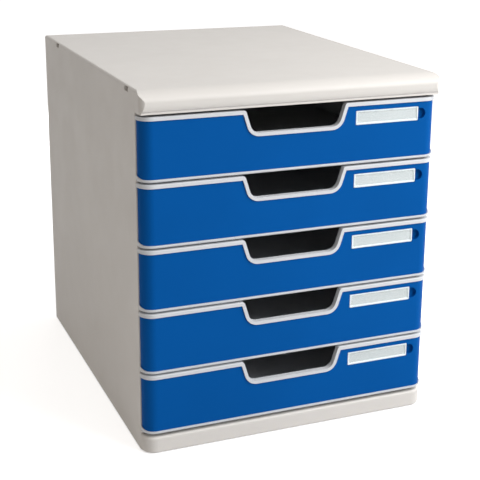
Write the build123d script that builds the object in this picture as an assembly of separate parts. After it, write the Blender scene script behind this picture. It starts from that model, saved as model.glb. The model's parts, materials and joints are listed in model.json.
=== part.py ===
"""Desktop drawer unit: a moulded plastic case with five shallow drawers for paper.

Millimetres. X is to the right, Y goes from the front to the back, Z is up.
The origin is the centre of the footprint, on the surface that the feet stand on.
"""
from build123d import *
import os

os.makedirs("parts", exist_ok=True)

# Overall case
case_width = 278.0
case_depth = 350.0
wall = 3.0
plinth_height = 16.2
lip_height = 18.5
lip_overhang = 4.0
front_corner_radius = 12.0

# Drawer stack
drawer_count = 5
drawer_front_height = 55.2
drawer_gap = 1.6
base_gap = 3.3
lid_gap = 2.3

# Lid lip profile
lip_corner_radius = 6.5
lip_corner_lead = 0.4
lip_top_run = 17.0
lip_top_drop = 8.5
lip_under_run = 2.0
lip_land = 2.0
lid_edge_radius = 2.6

# Clip notches in the seam between the side panels and the lid
notch_setbacks = (35.0, 286.0)
notch_length = 10.0
notch_height = 4.0
notch_skin = 0.9
notch_reach = 6.0

# Locating ribs under the lid
rib_thickness = 2.0
rib_height = 5.0
rib_setback = 12.0

# Side panel
side_edge_radius = 0.8
ledge_width = 7.0
ledge_thickness = 3.0
ledge_front_setback = 3.0
stop_length = 6.0
stop_width = 5.0
stop_height = 2.8
back_rib = 2.0

# Back panel
back_thickness = 2.5
back_recess = 2.0
back_side_clearance = 0.2
back_field_margin = 18.0
back_field_depth = 1.0

# Base
foot_standoff = 1.0
apron_edge_radius = 1.5
apron_top_radius = 2.4
base_rib_spacing = 68.0
base_rib_height = 5.0
boss_radius = 11.0
foot_inset = 24.0
foot_radius = 8.0
foot_seat_depth = 1.5
foot_clearance = 0.2

# Drawer front
rim_proud = 1.0
front_panel_thickness = 2.0
tray_front_wall = 2.4
top_rim = 3.3
bottom_rim = 2.6
panel_clearance = 0.15
panel_lower_corner = 5.0
rim_edge_radius = 0.6
rim_lower_radius = 1.8
edge_tolerance = 0.05

# Finger scoop
scoop_top_width = 93.2
scoop_bottom_width = 80.6
scoop_depth = 19.8
scoop_corner_radius = 9.0
scoop_mouth_radius = 2.5
scoop_rim = 3.0

# Label holder
label_length = 62.4
label_height = 13.0
label_right_margin = 19.8
label_top_margin = 4.3
label_recess = 1.2
label_clearance = 0.2
label_frame = 1.5
label_frame_relief = 0.3
card_thickness = 0.3
window_thickness = 0.8
thumb_notch_radius = 5.0
thumb_notch_offset = 2.0
thumb_notch_depth = 3.4
thumb_notch_wall = 1.0

# Tray
tray_wall = 2.0
tray_floor = 2.0
tray_floor_lift = 2.0
tray_corner_radius = 5.0
tray_foot_radius = 1.6
flange_drop = 3.2
flange_thickness = 2.0
flange_side_clearance = 0.6
tray_side_clearance = 0.6
running_gap = 0.3
tray_rear_clearance = 4.0
nib_length = 6.0
nib_height = 2.2
nib_setback = 4.0
drawer_travel = 240.0

# Places that follow from the sizes above
half_width = case_width / 2
lip_front = -case_depth / 2
case_back = case_depth / 2
panel_face = lip_front + lip_overhang
rim_face = panel_face - rim_proud
side_front = panel_face + front_corner_radius
inner_half_width = half_width - wall
drawer_pitch = drawer_front_height + drawer_gap
stack_bottom = plinth_height + base_gap
stack_top = stack_bottom + drawer_count * drawer_pitch - drawer_gap
lip_bottom = stack_top + lid_gap
case_height = lip_bottom + lip_height
lid_underside = case_height - wall
back_inner = case_back - back_recess - back_thickness
front_depth = rim_proud + front_panel_thickness + tray_front_wall
front_return_end = rim_face + front_corner_radius
flange_half_width = inner_half_width - flange_side_clearance
flange_height = drawer_front_height - flange_drop
tray_half_width = inner_half_width - ledge_width - tray_side_clearance
tray_back = back_inner - tray_rear_clearance
nib_front = tray_back - nib_setback - nib_length
stop_back = nib_front - drawer_travel - running_gap


def block(x0, x1, y0, y1, z0, z1):
    """A box between two corners."""
    return Pos((x0 + x1) / 2, (y0 + y1) / 2, (z0 + z1) / 2) * Box(x1 - x0, y1 - y0, z1 - z0)


def front_block(inset, front, radius, back, z0, z1):
    """A full-width block whose two front corners are rounded in plan, set in from the case."""
    sheet = Pos(0, (front + inset + back) / 2) * Rectangle(2 * (half_width - inset), back - front - inset)
    sheet = fillet(sheet.vertices().sort_by(Axis.Y)[:2], radius - inset)
    return Pos(0, 0, z0) * extrude(sheet, amount=z1 - z0)


def front_view(face, y_back, y_front):
    """A prism along Y from an outline drawn in X and Z."""
    plane = Plane(origin=(0, y_back, 0), x_dir=(1, 0, 0), z_dir=(0, -1, 0))
    return extrude(plane * face, amount=y_back - y_front)


def mirrored(solid):
    """The same piece on the other side of the case."""
    return mirror(solid, about=Plane.YZ)


def drawer_bottom(number):
    """Height of the lower edge of a drawer front; drawer 1 is at the top."""
    return stack_bottom + (drawer_count - number) * drawer_pitch


def lip_section(inset):
    """Side outline of the lid from the nose of the lip to the back, set in by a wall."""
    nose = (lip_front + inset, case_height - lip_top_drop)
    top_start = (lip_front + lip_top_run, case_height - inset)
    under_end = (lip_front + lip_under_run + inset, lip_bottom + lip_land)
    foot = (under_end[0], lip_bottom - inset)
    top_curve = EllipticalCenterArc(
        (top_start[0], nose[1]), lip_top_run - inset, lip_top_drop - inset, start_angle=90)
    under_curve = EllipticalCenterArc(
        (under_end[0], nose[1]), lip_under_run, nose[1] - under_end[1], start_angle=180)
    rest = Polyline(under_curve @ 1, foot, (case_back + inset, foot[1]), (case_back + inset, top_start[1]),
                    top_curve @ 0)
    return make_face(top_curve + under_curve + rest)


def side_view(face, x0, x1):
    """A prism along X from an outline drawn in Y and Z."""
    plane = Plane(origin=(x0, 0, 0), x_dir=(0, 1, 0), z_dir=(1, 0, 0))
    return extrude(plane * face, amount=x1 - x0)


def clip_notch(y):
    """A deep window across the left seam, under a thin skin of the lid."""
    top = case_height - notch_skin
    return block(-half_width, -half_width + notch_reach, y - notch_length / 2, y + notch_length / 2,
                 top - notch_height, top)


def notches():
    """All the clip notches of the left seam."""
    cut = Part()
    for setback in notch_setbacks:
        cut += clip_notch(panel_face + setback)
    return cut


def make_left_side_panel():
    panel = block(-half_width, -inner_half_width, side_front, case_back, foot_standoff, lid_underside)
    front_edge = panel.edges().filter_by(Axis.Z).sort_by(Axis.Y)[0:2].sort_by(Axis.X)[0]
    rear_edge = panel.edges().filter_by(Axis.Z).sort_by(Axis.Y)[-2:].sort_by(Axis.X)[0]
    panel = fillet([front_edge, rear_edge], side_edge_radius)
    for number in range(1, drawer_count + 1):
        flange_top = drawer_bottom(number) + flange_height
        ledge_top = flange_top - flange_thickness - running_gap
        panel += block(-inner_half_width, -inner_half_width + ledge_width,
                       side_front + ledge_front_setback, back_inner - back_rib,
                       ledge_top - ledge_thickness, ledge_top)
        stop_bottom = flange_top + running_gap
        panel += block(-inner_half_width, -inner_half_width + stop_width,
                       stop_back - stop_length, stop_back, stop_bottom, stop_bottom + stop_height)
    panel += block(-inner_half_width, -inner_half_width + back_rib, back_inner - back_rib, back_inner,
                   plinth_height, lid_underside)
    return panel - notches()


def make_top_panel():
    corner_front = lip_front - lip_corner_lead
    outer_plan = front_block(0, corner_front, lip_corner_radius, case_back, lip_bottom, case_height)
    outer_plan = fillet(outer_plan.faces().sort_by(Axis.Z)[-1].edges(), lid_edge_radius)
    outer = side_view(lip_section(0), -half_width, half_width) & outer_plan
    cavity_plan = front_block(wall, corner_front, lip_corner_radius, case_back + wall,
                              lip_bottom - wall, case_height)
    cavity = side_view(lip_section(wall), -half_width, half_width) & cavity_plan
    lid = outer - cavity
    lid -= block(-half_width - wall, half_width + wall, side_front, case_back + wall,
                 lip_bottom - wall, lid_underside)
    rib = block(-inner_half_width, -inner_half_width + rib_thickness,
                side_front + rib_setback, back_inner - rib_setback,
                lid_underside - rib_height, lid_underside)
    lid += rib + mirrored(rib)
    cut = notches()
    return lid - cut - mirrored(cut)


def make_back_panel():
    half = inner_half_width - back_side_clearance
    panel = block(-half, half, back_inner, back_inner + back_thickness, plinth_height, lid_underside)
    field = block(-half + back_field_margin, half - back_field_margin,
                  back_inner + back_thickness - back_field_depth, case_back,
                  plinth_height + back_field_margin, lid_underside - back_field_margin)
    return panel - field


def foot_places():
    """Name and centre of each foot."""
    x = half_width - foot_inset
    front = panel_face + foot_inset
    rear = case_back - foot_inset
    return {
        "front_left_foot": (-x, front),
        "front_right_foot": (x, front),
        "rear_left_foot": (-x, rear),
        "rear_right_foot": (x, rear),
    }


def make_base_panel():
    apron = front_block(0, panel_face, front_corner_radius, side_front, foot_standoff, plinth_height)
    lower_edges = apron.faces().sort_by(Axis.Z)[0].edges().filter_by(
        lambda edge: edge.center().Y < side_front - apron_edge_radius / 2)
    apron = fillet(lower_edges, apron_edge_radius)
    upper_edges = apron.faces().sort_by(Axis.Z)[-1].edges().filter_by(
        lambda edge: edge.center().Y < side_front - apron_top_radius / 2)
    apron = fillet(upper_edges, apron_top_radius)
    body = apron + block(-inner_half_width, inner_half_width, side_front, case_back, foot_standoff, plinth_height)
    hollow_top = plinth_height - wall
    hollow = front_block(wall, panel_face, front_corner_radius, side_front, foot_standoff - wall, hollow_top)
    hollow += block(-inner_half_width + wall, inner_half_width - wall, side_front - wall, case_back - wall,
                    foot_standoff - wall, hollow_top)
    for side in (-1, 1):
        x = side * (half_width - wall / 2)
        hollow -= block(x - wall, x + wall, side_front - wall, side_front + wall, foot_standoff - wall, hollow_top)
    base = body - hollow
    inner_x = inner_half_width - wall
    rib_bottom = hollow_top - base_rib_height
    for x in (-base_rib_spacing / 2, base_rib_spacing / 2):
        base += block(x - rib_thickness / 2, x + rib_thickness / 2, panel_face + wall, case_back - wall,
                      rib_bottom, hollow_top)
    for y in (-base_rib_spacing, 0, base_rib_spacing):
        base += block(-inner_x, inner_x, y - rib_thickness / 2, y + rib_thickness / 2,
                      rib_bottom, hollow_top)
    for x, y in foot_places().values():
        base += Pos(x, y, (foot_standoff + hollow_top) / 2) * Cylinder(boss_radius, hollow_top - foot_standoff)
        seat_height = foot_seat_depth + foot_standoff
        base -= Pos(x, y, seat_height / 2) * Cylinder(foot_radius + foot_clearance, seat_height)
    return base


def make_foot(x, y):
    height = foot_standoff + foot_seat_depth
    pad = Pos(x, y, height / 2) * Cylinder(foot_radius, height)
    return chamfer(pad.edges().sort_by(Axis.Z)[0], foot_standoff / 2)


def scoop_outline(bottom, grow):
    """The scoop in front view, set out from the tray's own opening by a rim."""
    top = bottom + drawer_front_height
    floor = top - scoop_depth
    lean = (scoop_top_width - scoop_bottom_width) / 2 / scoop_depth
    side_grow = grow * (1 + lean * lean) ** 0.5
    rise = 2 * scoop_depth

    def half_at(z):
        return scoop_bottom_width / 2 + (z - floor) * lean + side_grow

    low = floor - grow
    high = low + rise
    face = make_face(Polyline((-half_at(low), low), (half_at(low), low), (half_at(high), high),
                              (-half_at(high), high), close=True))
    return fillet(face.vertices().sort_by(Axis.Y)[:2], scoop_corner_radius + grow)


def scoop_opening(bottom):
    """The tray's own opening, flared at the top edge by a mouth radius."""
    top = bottom + drawer_front_height
    above = Pos(0, top + scoop_depth / 2) * Rectangle(case_width, scoop_depth)
    face = scoop_outline(bottom, 0) + above
    reach = scoop_top_width / 2 + scoop_mouth_radius
    corners = face.vertices().filter_by(
        lambda corner: abs(corner.Y - top) < scoop_mouth_radius and abs(corner.X) < reach)
    return fillet(corners, scoop_mouth_radius)


def panel_outline(bottom, clearance):
    """The coloured panel in front view, without its scoop."""
    z0 = bottom + bottom_rim + clearance
    z1 = bottom + drawer_front_height - top_rim - clearance
    half = half_width + rim_proud / 2 - clearance
    face = Pos(0, (z0 + z1) / 2) * Rectangle(2 * half, z1 - z0)
    return fillet(face.vertices().sort_by(Axis.Y)[:2], panel_lower_corner)


def label_place(bottom):
    """Centre of the label recess in X and Z."""
    x = half_width - label_right_margin - label_length / 2
    z = bottom + drawer_front_height - top_rim - label_top_margin - label_height / 2
    return x, z


def label_block(bottom, trim, y0, y1):
    """A block in the label recess, set in by a trim all round."""
    x, z = label_place(bottom)
    half_x = label_length / 2 - trim
    half_z = label_height / 2 - trim
    return block(x - half_x, x + half_x, y0, y1, z - half_z, z + half_z)


def thumb_cup(bottom, grow, back, front=panel_face + front_panel_thickness / 2):
    """The half-round recess beside the label, or the wall round it, between two depths."""
    x, z = label_place(bottom)
    edge = x + label_length / 2
    disc = Pos(edge + thumb_notch_offset, z) * Circle(thumb_notch_radius + grow)
    hidden = Pos(edge - grow - thumb_notch_radius, z) * Rectangle(2 * thumb_notch_radius, 4 * thumb_notch_radius)
    return front_view(disc - hidden, back, front)


def front_layer(bottom, outer_inset, inner_inset):
    """The part of a drawer front between two depths behind its rim face."""
    top = bottom + drawer_front_height
    outer = front_block(outer_inset, rim_face, front_corner_radius, front_return_end, bottom, top)
    inner = front_block(inner_inset, rim_face, front_corner_radius, side_front, bottom, top)
    return outer - inner


def make_front_panel(bottom):
    layer = front_layer(bottom, rim_proud, rim_proud + front_panel_thickness)
    panel = layer & front_view(panel_outline(bottom, panel_clearance), side_front, lip_front)
    panel -= front_view(scoop_outline(bottom, scoop_rim + panel_clearance), side_front, lip_front)
    recess_back = panel_face + label_recess
    panel -= label_block(bottom, 0, lip_front, recess_back)
    panel += thumb_cup(bottom, thumb_notch_wall, rim_face + front_depth)
    return panel - thumb_cup(bottom, 0, panel_face + thumb_notch_depth, lip_front)


def make_label_card(bottom):
    back = panel_face + label_recess
    return label_block(bottom, label_frame, back - card_thickness, back)


def make_label_window(bottom):
    back = panel_face + label_recess - card_thickness
    window = label_block(bottom, label_clearance, back - window_thickness, back)
    relief = label_block(bottom, label_frame, lip_front, back - window_thickness + label_frame_relief)
    return window - relief


def make_tray(bottom):
    top = bottom + drawer_front_height
    front = front_layer(bottom, 0, front_depth)
    front = fillet(outer_rim_edges(front, -1), rim_edge_radius)
    front = fillet(outer_rim_edges(front, 0), rim_lower_radius)
    pocket = front_layer(bottom, -rim_proud, rim_proud + front_panel_thickness)
    pocket &= front_view(panel_outline(bottom, 0), side_front, lip_front)
    pocket -= front_view(scoop_outline(bottom, scoop_rim), side_front, lip_front)
    front -= pocket
    floor = bottom + tray_floor_lift
    rim = bottom + flange_height
    inner_front = rim_face + front_depth
    body = block(-tray_half_width, tray_half_width, inner_front - tray_front_wall / 2, tray_back, floor, rim)
    rear_edges = body.edges().filter_by(Axis.Z).sort_by(Axis.Y)[-2:]
    body = fillet(rear_edges, tray_corner_radius)
    floor_edges = body.faces().sort_by(Axis.Z)[0].edges().filter_by(
        lambda edge: edge.center().Y > inner_front)
    body = fillet(floor_edges, tray_foot_radius)
    body += block(-flange_half_width, flange_half_width, front_return_end - tray_wall, tray_back,
                  rim - flange_thickness, rim)
    inside = block(-tray_half_width + tray_wall, tray_half_width - tray_wall, inner_front, tray_back - tray_wall,
                   floor + tray_floor, top + tray_floor)
    inside = fillet(inside.edges().filter_by(Axis.Z), tray_corner_radius - tray_wall)
    inside = fillet(inside.faces().sort_by(Axis.Z)[0].edges(), tray_foot_radius)
    tray = front + body - inside
    for side in (-1, 1):
        x_edge = side * flange_half_width
        x_root = side * (inner_half_width - stop_width)
        tray += block(min(x_edge, x_root), max(x_edge, x_root), nib_front, nib_front + nib_length,
                      rim, rim + nib_height)
    tray -= thumb_cup(bottom, thumb_notch_wall + panel_clearance, inner_front + tray_wall)
    return tray - front_view(scoop_opening(bottom), side_front, lip_front)


def outer_rim_edges(front, end):
    """The outer edges of the top face (end -1) or the bottom face (end 0) of a tray's front."""
    return [edge for edge in front.faces().sort_by(Axis.Z)[end].edges() if edge_on_rim(edge)]


def edge_on_rim(edge):
    """Whether an edge lies on the outermost face of a drawer front."""
    middle = edge @ 0.5
    ends = (edge @ 0, edge @ 1, middle)
    corner_x = half_width - front_corner_radius
    corner_y = rim_face + front_corner_radius
    for point in ends:
        reach_x = max(abs(point.X) - corner_x, 0)
        reach_y = max(corner_y - point.Y, 0)
        if abs((reach_x ** 2 + reach_y ** 2) ** 0.5 - front_corner_radius) > edge_tolerance:
            return False
    return True


def save(solid, name):
    export_step(solid, f"parts/{name}.step")


left_side = make_left_side_panel()
save(left_side, "left_side_panel")
save(mirrored(left_side), "right_side_panel")
save(make_top_panel(), "top_panel")
save(make_back_panel(), "back_panel")
save(make_base_panel(), "base_panel")
for foot_name, (foot_x, foot_y) in foot_places().items():
    save(make_foot(foot_x, foot_y), foot_name)
for drawer_number in range(1, drawer_count + 1):
    drawer_z = drawer_bottom(drawer_number)
    save(make_tray(drawer_z), f"drawer_{drawer_number}_tray")
    save(make_front_panel(drawer_z), f"drawer_{drawer_number}_front_panel")
    save(make_label_card(drawer_z), f"drawer_{drawer_number}_label_card")
    save(make_label_window(drawer_z), f"drawer_{drawer_number}_label_window")
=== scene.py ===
"""Looks of a desktop drawer unit: a light grey moulded case with five blue-fronted drawers.

Metres. X is to the right, Y goes from the front to the back, Z is up.
"""
import json
import math

import bmesh
import bpy
from mathutils import Matrix, Vector


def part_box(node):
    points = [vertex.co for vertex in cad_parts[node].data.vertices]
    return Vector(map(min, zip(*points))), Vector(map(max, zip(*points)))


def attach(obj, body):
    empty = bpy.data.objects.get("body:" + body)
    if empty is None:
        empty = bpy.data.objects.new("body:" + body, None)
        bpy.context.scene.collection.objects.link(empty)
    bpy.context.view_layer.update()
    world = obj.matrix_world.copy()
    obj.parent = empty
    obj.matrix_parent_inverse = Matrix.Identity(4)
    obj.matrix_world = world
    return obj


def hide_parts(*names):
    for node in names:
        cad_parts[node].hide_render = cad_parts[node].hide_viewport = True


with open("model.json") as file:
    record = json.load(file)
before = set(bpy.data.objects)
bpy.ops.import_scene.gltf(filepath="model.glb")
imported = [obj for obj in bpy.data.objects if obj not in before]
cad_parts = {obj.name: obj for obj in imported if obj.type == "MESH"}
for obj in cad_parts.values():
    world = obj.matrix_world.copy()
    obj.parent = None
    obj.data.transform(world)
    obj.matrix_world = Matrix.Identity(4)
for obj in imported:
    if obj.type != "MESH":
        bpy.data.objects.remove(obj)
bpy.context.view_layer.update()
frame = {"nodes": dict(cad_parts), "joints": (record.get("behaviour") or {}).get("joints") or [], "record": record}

# Camera: frame and optics in pixels, place and clipping in metres, angles in degrees
frame_pixels = 480
focal_pixels = 1130.9
principal_point = (262.0, 192.0)
camera_place = (-0.3919, -1.0279, 0.4929)
camera_clipping = (0.05, 100.0)
camera_azimuth = -22.84
camera_elevation = 15.80
camera_roll = 0.68

# Camera sensor, in millimetres
sensor_width = 36.0

# Lamps, in metres and watts: a soft box at the right of the front, a weak warm one at the left
# and one behind
key_lamp = {"aim": (0.0, -0.17, 0.16), "direction": (0.60, -0.55, 0.60), "distance": 1.18,
            "size": 0.9, "power": 15.4, "colour": (1.0, 1.0, 1.0)}
fill_lamp = {"aim": (-0.139, -0.10, 0.04), "direction": (-1.0, -0.34, 0.06), "distance": 0.6,
             "size": 0.35, "power": 0.2, "colour": (1.0, 0.86, 0.72)}
back_lamp = {"aim": (0.0, 0.175, 0.16), "direction": (0.25, 1.0, -0.02), "distance": 1.2,
             "size": 0.3, "power": 4.0, "colour": (1.0, 1.0, 1.0)}

# Even light of the room: it is a little brighter from one side, and it is warm from the left and
# turns white as its direction's X passes through the fade
ambient_level = 0.39
ambient_slope = 0.20
bright_side = (0.55, -0.35, 0.76)
white_light = (1.0, 1.0, 1.0)
warm_light = (1.0, 0.885, 0.77)
warm_fade = (-1.0, 0.2)

# Floor: how far it reaches in metres, its colour where it is seen, the dimmer one that bounced
# light meets, and its glow where it is seen
floor_reach = 30.0
floor_colour = (0.9, 0.9, 0.9)
floor_bounce = (0.5, 0.5, 0.5)
floor_glow = 0.63

# Colours, as linear red, green and blue
case_colour = (0.70, 0.675, 0.645)
tray_colour = (0.64, 0.66, 0.69)
blue_colour = (0.0008, 0.089, 0.348)
card_colour = (0.61, 0.665, 0.675)
frame_colour = (0.78, 0.85, 0.88)
pane_colour = (0.92, 0.95, 0.96)
rubber_colour = (0.02, 0.02, 0.021)

# Noises: cycles per metre, detail and roughness
flow_noise = (9.0, 2.0, 0.5)
wave_noise = (28.0, 1.0, 0.5)
gloss_noise = (60.0, 3.0, 0.5)
haze_noise = (300.0, 2.0, 0.5)
scratch_noise = (500.0, 3.0, 0.6)
fibre_noise = (900.0, 4.0, 0.7)
rubber_noise = (1200.0, 3.0, 0.6)
grain_noise = (1400.0, 2.0, 0.6)

# Where a noise's low and high colours or levels are reached
noise_span = (0.3, 0.7)
flow_span = (0.35, 0.65)

# Moulded plastics, with the depths of their bumps in metres
wave_depth = 0.00012
case_finish = {"variation": 0.012, "roughness": (0.46, 0.56), "specular": 0.35, "grain_depth": 0.00003}
tray_finish = {"variation": 0.01, "roughness": (0.36, 0.46), "specular": 0.4, "grain_depth": 0.00002}
blue_finish = {"variation": 0.03, "roughness": (0.44, 0.54), "specular": 0.04, "grain_depth": 0.00003}

# Paper, the label holder's clear pane and pale edge, and rubber, with bump depths in metres
card_shades = (0.95, 1.04)
card_roughness = 0.85
card_specular = 0.2
card_depth = 0.00002
pane_alpha = 0.1
pane_roughness = (0.1, 0.2)
frame_shades = (0.97, 1.02)
frame_roughness = (0.25, 0.35)
rubber_shades = (0.8, 1.3)
rubber_roughness = 0.8
rubber_depth = 0.00004

# Label holder, in metres
label_frame_width = 0.0012
label_frame_bevel = 0.0003
label_inner_slope = 0.0006
label_pane_drop = 0.0004
label_pane_thickness = 0.0002
label_corner_radius = 0.0009
label_least_radius = 0.000225

# Straight steps of each round corner, and the holder's materials in the order of its slots
corner_steps = 4
holder_materials = ("label_edge", "label_window")


def empty_nodes(owner):
    """The node tree of a material or world, with nothing in it."""
    owner.use_nodes = True
    owner.node_tree.nodes.clear()
    return owner.node_tree


def new_material(name):
    """A material with only a Principled shader; returns the material, its node tree and the shader."""
    material = bpy.data.materials.new(name)
    tree = empty_nodes(material)
    output = tree.nodes.new("ShaderNodeOutputMaterial")
    shader = tree.nodes.new("ShaderNodeBsdfPrincipled")
    tree.links.new(shader.outputs["BSDF"], output.inputs["Surface"])
    return material, tree, shader


def noise(tree, scale, detail, roughness):
    """Noise in object space, with its scale in cycles per metre."""
    place = tree.nodes.new("ShaderNodeTexCoord")
    texture = tree.nodes.new("ShaderNodeTexNoise")
    texture.inputs["Scale"].default_value = scale
    texture.inputs["Detail"].default_value = detail
    texture.inputs["Roughness"].default_value = roughness
    tree.links.new(place.outputs["Object"], texture.inputs["Vector"])
    return texture.outputs["Fac"]


def ramp(tree, value, span, colours):
    """A colour that goes from the first to the second as a value passes through a span."""
    node = tree.nodes.new("ShaderNodeValToRGB")
    for element, position, colour in zip(node.color_ramp.elements, span, colours):
        element.position = position
        element.color = (*colour, 1)
    tree.links.new(value, node.inputs["Fac"])
    return node.outputs["Color"]


def spread(tree, value, span, limits):
    """A value that goes from the first limit to the second as another passes through a span."""
    node = tree.nodes.new("ShaderNodeMapRange")
    for name, level in zip(("From Min", "From Max", "To Min", "To Max"), (*span, *limits)):
        node.inputs[name].default_value = level
    tree.links.new(value, node.inputs["Value"])
    return node.outputs["Result"]


def bump(tree, shader, layers):
    """Chains bumps of (height, depth in metres) onto the shader's normal."""
    last = None
    for height, depth in layers:
        node = tree.nodes.new("ShaderNodeBump")
        node.inputs["Strength"].default_value = 1.0
        node.inputs["Distance"].default_value = depth
        tree.links.new(height, node.inputs["Height"])
        if last is not None:
            tree.links.new(last, node.inputs["Normal"])
        last = node.outputs["Normal"]
    tree.links.new(last, shader.inputs["Normal"])


def shades(colour, factors):
    """The colour times each factor, no brighter than 1."""
    return [tuple(min(part * factor, 1.0) for part in colour) for factor in factors]


def moulded_plastic(name, colour, finish):
    """Satin moulded plastic: a spark-eroded grain, faint flow marks and uneven gloss."""
    material, tree, shader = new_material(name)
    flow = noise(tree, *flow_noise)
    gloss = noise(tree, *gloss_noise)
    waves = noise(tree, *wave_noise)
    grain = noise(tree, *grain_noise)
    tones = shades(colour, (1 - finish["variation"], 1 + finish["variation"]))
    tree.links.new(ramp(tree, flow, flow_span, tones), shader.inputs["Base Color"])
    tree.links.new(spread(tree, gloss, noise_span, finish["roughness"]), shader.inputs["Roughness"])
    shader.inputs["Specular IOR Level"].default_value = finish["specular"]
    bump(tree, shader, [(waves, wave_depth), (grain, finish["grain_depth"])])
    return material


def paper(name):
    """Uncoated label paper, with its fibres."""
    material, tree, shader = new_material(name)
    fibres = noise(tree, *fibre_noise)
    tree.links.new(ramp(tree, fibres, noise_span, shades(card_colour, card_shades)),
                   shader.inputs["Base Color"])
    shader.inputs["Roughness"].default_value = card_roughness
    shader.inputs["Specular IOR Level"].default_value = card_specular
    bump(tree, shader, [(fibres, card_depth)])
    return material


def clear_plastic(name):
    """The thin clear pane of a label holder: nearly see-through, with a gloss."""
    material, tree, shader = new_material(name)
    scratches = noise(tree, *scratch_noise)
    shader.inputs["Base Color"].default_value = (*pane_colour, 1)
    shader.inputs["Alpha"].default_value = pane_alpha
    tree.links.new(spread(tree, scratches, noise_span, pane_roughness), shader.inputs["Roughness"])
    return material


def frosted_plastic(name):
    """The pale edge of a label holder."""
    material, tree, shader = new_material(name)
    haze = noise(tree, *haze_noise)
    tree.links.new(ramp(tree, haze, noise_span, shades(frame_colour, frame_shades)),
                   shader.inputs["Base Color"])
    tree.links.new(spread(tree, haze, noise_span, frame_roughness), shader.inputs["Roughness"])
    return material


def rubber(name):
    """Dull black rubber of the feet."""
    material, tree, shader = new_material(name)
    grain = noise(tree, *rubber_noise)
    tree.links.new(ramp(tree, grain, noise_span, shades(rubber_colour, rubber_shades)),
                   shader.inputs["Base Color"])
    shader.inputs["Roughness"].default_value = rubber_roughness
    bump(tree, shader, [(grain, rubber_depth)])
    return material


materials = {
    "case_plastic": moulded_plastic("case_plastic", case_colour, case_finish),
    "tray_plastic": moulded_plastic("tray_plastic", tray_colour, tray_finish),
    "blue_plastic": moulded_plastic("blue_plastic", blue_colour, blue_finish),
    "label_card": paper("label_card"),
    "label_window": clear_plastic("label_window"),
    "label_edge": frosted_plastic("label_edge"),
    "foot_rubber": rubber("foot_rubber"),
}


def dress_cad_nodes():
    """Gives each solid the material of its slot in the record."""
    for subpart in frame["record"]["subparts"]:
        piece = frame["nodes"][subpart["node"]]
        piece.data.materials.clear()
        piece.data.materials.append(materials[subpart["material_slot"]])


def rounded_rectangle(x0, x1, z0, z1, radius):
    """Points of a rectangle in X and Z with round corners, anticlockwise from the front."""
    points = []
    centres = ((x1 - radius, z1 - radius, 0), (x0 + radius, z1 - radius, 90),
               (x0 + radius, z0 + radius, 180), (x1 - radius, z0 + radius, 270))
    for x, z, start in centres:
        for step in range(corner_steps + 1):
            angle = math.radians(start + 90 * step / corner_steps)
            points.append((x + radius * math.cos(angle), z + radius * math.sin(angle)))
    return points


def make_label_holder(number):
    """A clear pane in a pale bevelled edge, in place of the plain window solid."""
    node = f"drawer_{number}_label_window"
    (x0, front, z0), (x1, back, z1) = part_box(node)
    shape = bmesh.new()

    def outline(inset, y):
        """A ring of points at a depth, inset from the window's outline."""
        radius = max(label_corner_radius - inset, label_least_radius)
        points = rounded_rectangle(x0 + inset, x1 - inset, z0 + inset, z1 - inset, radius)
        return [shape.verts.new((x, y, z)) for x, z in points]

    def inner_outline(y):
        """The ring on the edge's inner wall, which slopes inwards towards the back."""
        return outline(label_frame_width + label_inner_slope * (y - front) / (back - front), y)

    def wall_between(first, second):
        """Faces that join two rings."""
        for i in range(len(first)):
            j = (i + 1) % len(first)
            shape.faces.new((first[i], first[j], second[j], second[i]))

    edge = [outline(0.0, back), outline(0.0, front + label_frame_bevel),
            outline(label_frame_bevel, front), inner_outline(front), inner_outline(back)]
    for first, second in zip(edge, edge[1:] + edge[:1]):
        wall_between(first, second)
    pane_front = inner_outline(front + label_pane_drop)
    pane_back = inner_outline(front + label_pane_drop + label_pane_thickness)
    for face in (shape.faces.new(pane_front), shape.faces.new(reversed(pane_back))):
        face.material_index = holder_materials.index("label_window")
    bmesh.ops.recalc_face_normals(shape, faces=shape.faces)
    mesh = bpy.data.meshes.new(f"drawer_{number}_label_holder")
    shape.to_mesh(mesh)
    shape.free()
    for name in holder_materials:
        mesh.materials.append(materials[name])
    holder = bpy.data.objects.new(f"drawer_{number}_label_holder", mesh)
    bpy.context.scene.collection.objects.link(holder)
    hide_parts(node)
    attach(holder, f"drawer_{number}")


def seen_directly(tree):
    """1 for rays from the camera, from a gloss or through glass, and 0 for light that bounces."""
    path = tree.nodes.new("ShaderNodeLightPath")
    total = path.outputs["Is Camera Ray"]
    for name in ("Is Glossy Ray", "Is Transmission Ray"):
        either = tree.nodes.new("ShaderNodeMath")
        either.operation = "MAXIMUM"
        tree.links.new(total, either.inputs[0])
        tree.links.new(path.outputs[name], either.inputs[1])
        total = either.outputs["Value"]
    return total


def output_by_ray(tree, output_type, bounced, seen):
    """Ends a tree in one shader for light that bounces and another for what is seen directly."""
    mix = tree.nodes.new("ShaderNodeMixShader")
    output = tree.nodes.new(output_type)
    tree.links.new(seen_directly(tree), mix.inputs["Fac"])
    tree.links.new(bounced, mix.inputs[1])
    tree.links.new(seen, mix.inputs[2])
    tree.links.new(mix.outputs["Shader"], output.inputs["Surface"])


def diffuse(tree, colour):
    """A matt surface of one colour."""
    node = tree.nodes.new("ShaderNodeBsdfDiffuse")
    node.inputs["Color"].default_value = (*colour, 1)
    return node.outputs["BSDF"]


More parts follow.
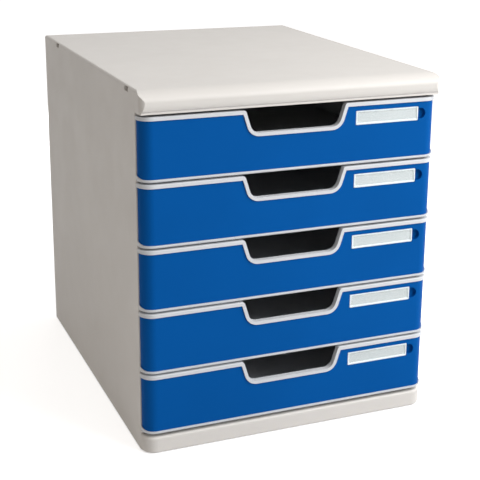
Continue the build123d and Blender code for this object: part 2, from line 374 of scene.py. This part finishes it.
def make_floor():
    """A wide white floor that keeps the shadow; light that bounces off it is dimmer."""
    mesh = bpy.data.meshes.new("floor")
    corners = [(x * floor_reach, y * floor_reach, 0) for x, y in ((-1, -1), (1, -1), (1, 1), (-1, 1))]
    mesh.from_pydata(corners, [], [(0, 1, 2, 3)])
    floor = bpy.data.objects.new("floor", mesh)
    bpy.context.scene.collection.objects.link(floor)
    material = bpy.data.materials.new("floor")
    tree = empty_nodes(material)
    glow = tree.nodes.new("ShaderNodeEmission")
    glow.inputs["Strength"].default_value = floor_glow
    glowing = tree.nodes.new("ShaderNodeAddShader")
    tree.links.new(diffuse(tree, floor_colour), glowing.inputs[0])
    tree.links.new(glow.outputs["Emission"], glowing.inputs[1])
    output_by_ray(tree, "ShaderNodeOutputMaterial", diffuse(tree, floor_bounce), glowing.outputs["Shader"])
    mesh.materials.append(material)


def make_world():
    """White where it is seen, and otherwise a soft level with a slope from one side to the other."""
    world = bpy.data.worlds.new("studio")
    bpy.context.scene.world = world
    tree = empty_nodes(world)
    place = tree.nodes.new("ShaderNodeTexCoord")
    toward = tree.nodes.new("ShaderNodeVectorMath")
    toward.operation = "DOT_PRODUCT"
    toward.inputs[1].default_value = Vector(bright_side).normalized()
    tree.links.new(place.outputs["Generated"], toward.inputs[0])
    level = tree.nodes.new("ShaderNodeMath")
    level.operation = "MULTIPLY_ADD"
    level.inputs[1].default_value = ambient_slope
    level.inputs[2].default_value = ambient_level
    tree.links.new(toward.outputs["Value"], level.inputs[0])
    across = tree.nodes.new("ShaderNodeSeparateXYZ")
    tree.links.new(place.outputs["Generated"], across.inputs["Vector"])
    soft = tree.nodes.new("ShaderNodeBackground")
    tree.links.new(level.outputs["Value"], soft.inputs["Strength"])
    from_right = spread(tree, across.outputs["X"], warm_fade, (0.0, 1.0))
    tree.links.new(ramp(tree, from_right, (0.0, 1.0), (warm_light, white_light)), soft.inputs["Color"])
    white = tree.nodes.new("ShaderNodeBackground")
    white.inputs["Color"].default_value = (*white_light, 1)
    white.inputs["Strength"].default_value = 1.0
    output_by_ray(tree, "ShaderNodeOutputWorld", soft.outputs["Background"], white.outputs["Background"])


def make_lamp(name, place):
    """A square soft lamp, out of the camera's sight."""
    lamp = bpy.data.lights.new(name, "AREA")
    lamp.shape = "SQUARE"
    lamp.size = place["size"]
    lamp.energy = place["power"]
    lamp.color = place["colour"]
    direction = Vector(place["direction"]).normalized()
    soft_box = bpy.data.objects.new(name, lamp)
    soft_box.rotation_mode = "QUATERNION"
    soft_box.rotation_quaternion = direction.to_track_quat("Z", "Y")
    soft_box.location = Vector(place["aim"]) + direction * place["distance"]
    soft_box.visible_camera = False
    bpy.context.scene.collection.objects.link(soft_box)


def make_camera():
    """The photograph's camera, from the left and a little above."""
    data = bpy.data.cameras.new("camera")
    data.sensor_width = sensor_width
    data.lens = focal_pixels / frame_pixels * sensor_width
    middle = frame_pixels / 2
    data.shift_x = (middle - principal_point[0]) / frame_pixels
    data.shift_y = (principal_point[1] - middle) / frame_pixels
    data.clip_start, data.clip_end = camera_clipping
    azimuth = math.radians(camera_azimuth)
    elevation = math.radians(camera_elevation)
    roll = math.radians(camera_roll)
    back = Vector((math.sin(azimuth) * math.cos(elevation),
                   -math.cos(azimuth) * math.cos(elevation), math.sin(elevation)))
    right = Vector((0, 0, 1)).cross(back).normalized()
    up = back.cross(right)
    rolled_right = right * math.cos(roll) + up * math.sin(roll)
    rolled_up = up * math.cos(roll) - right * math.sin(roll)
    turn = Matrix((rolled_right, rolled_up, back)).transposed()
    camera = bpy.data.objects.new("camera", data)
    camera.matrix_world = Matrix.Translation(camera_place) @ turn.to_4x4()
    bpy.context.scene.collection.objects.link(camera)
    bpy.context.scene.camera = camera


make_camera()
dress_cad_nodes()
for drawer_number in range(1, len(frame["joints"]) + 1):
    make_label_holder(drawer_number)
make_floor()
make_world()
make_lamp("key_lamp", key_lamp)
make_lamp("fill_lamp", fill_lamp)
make_lamp("back_lamp", back_lamp)
bpy.context.scene.view_settings.view_transform = "Standard"
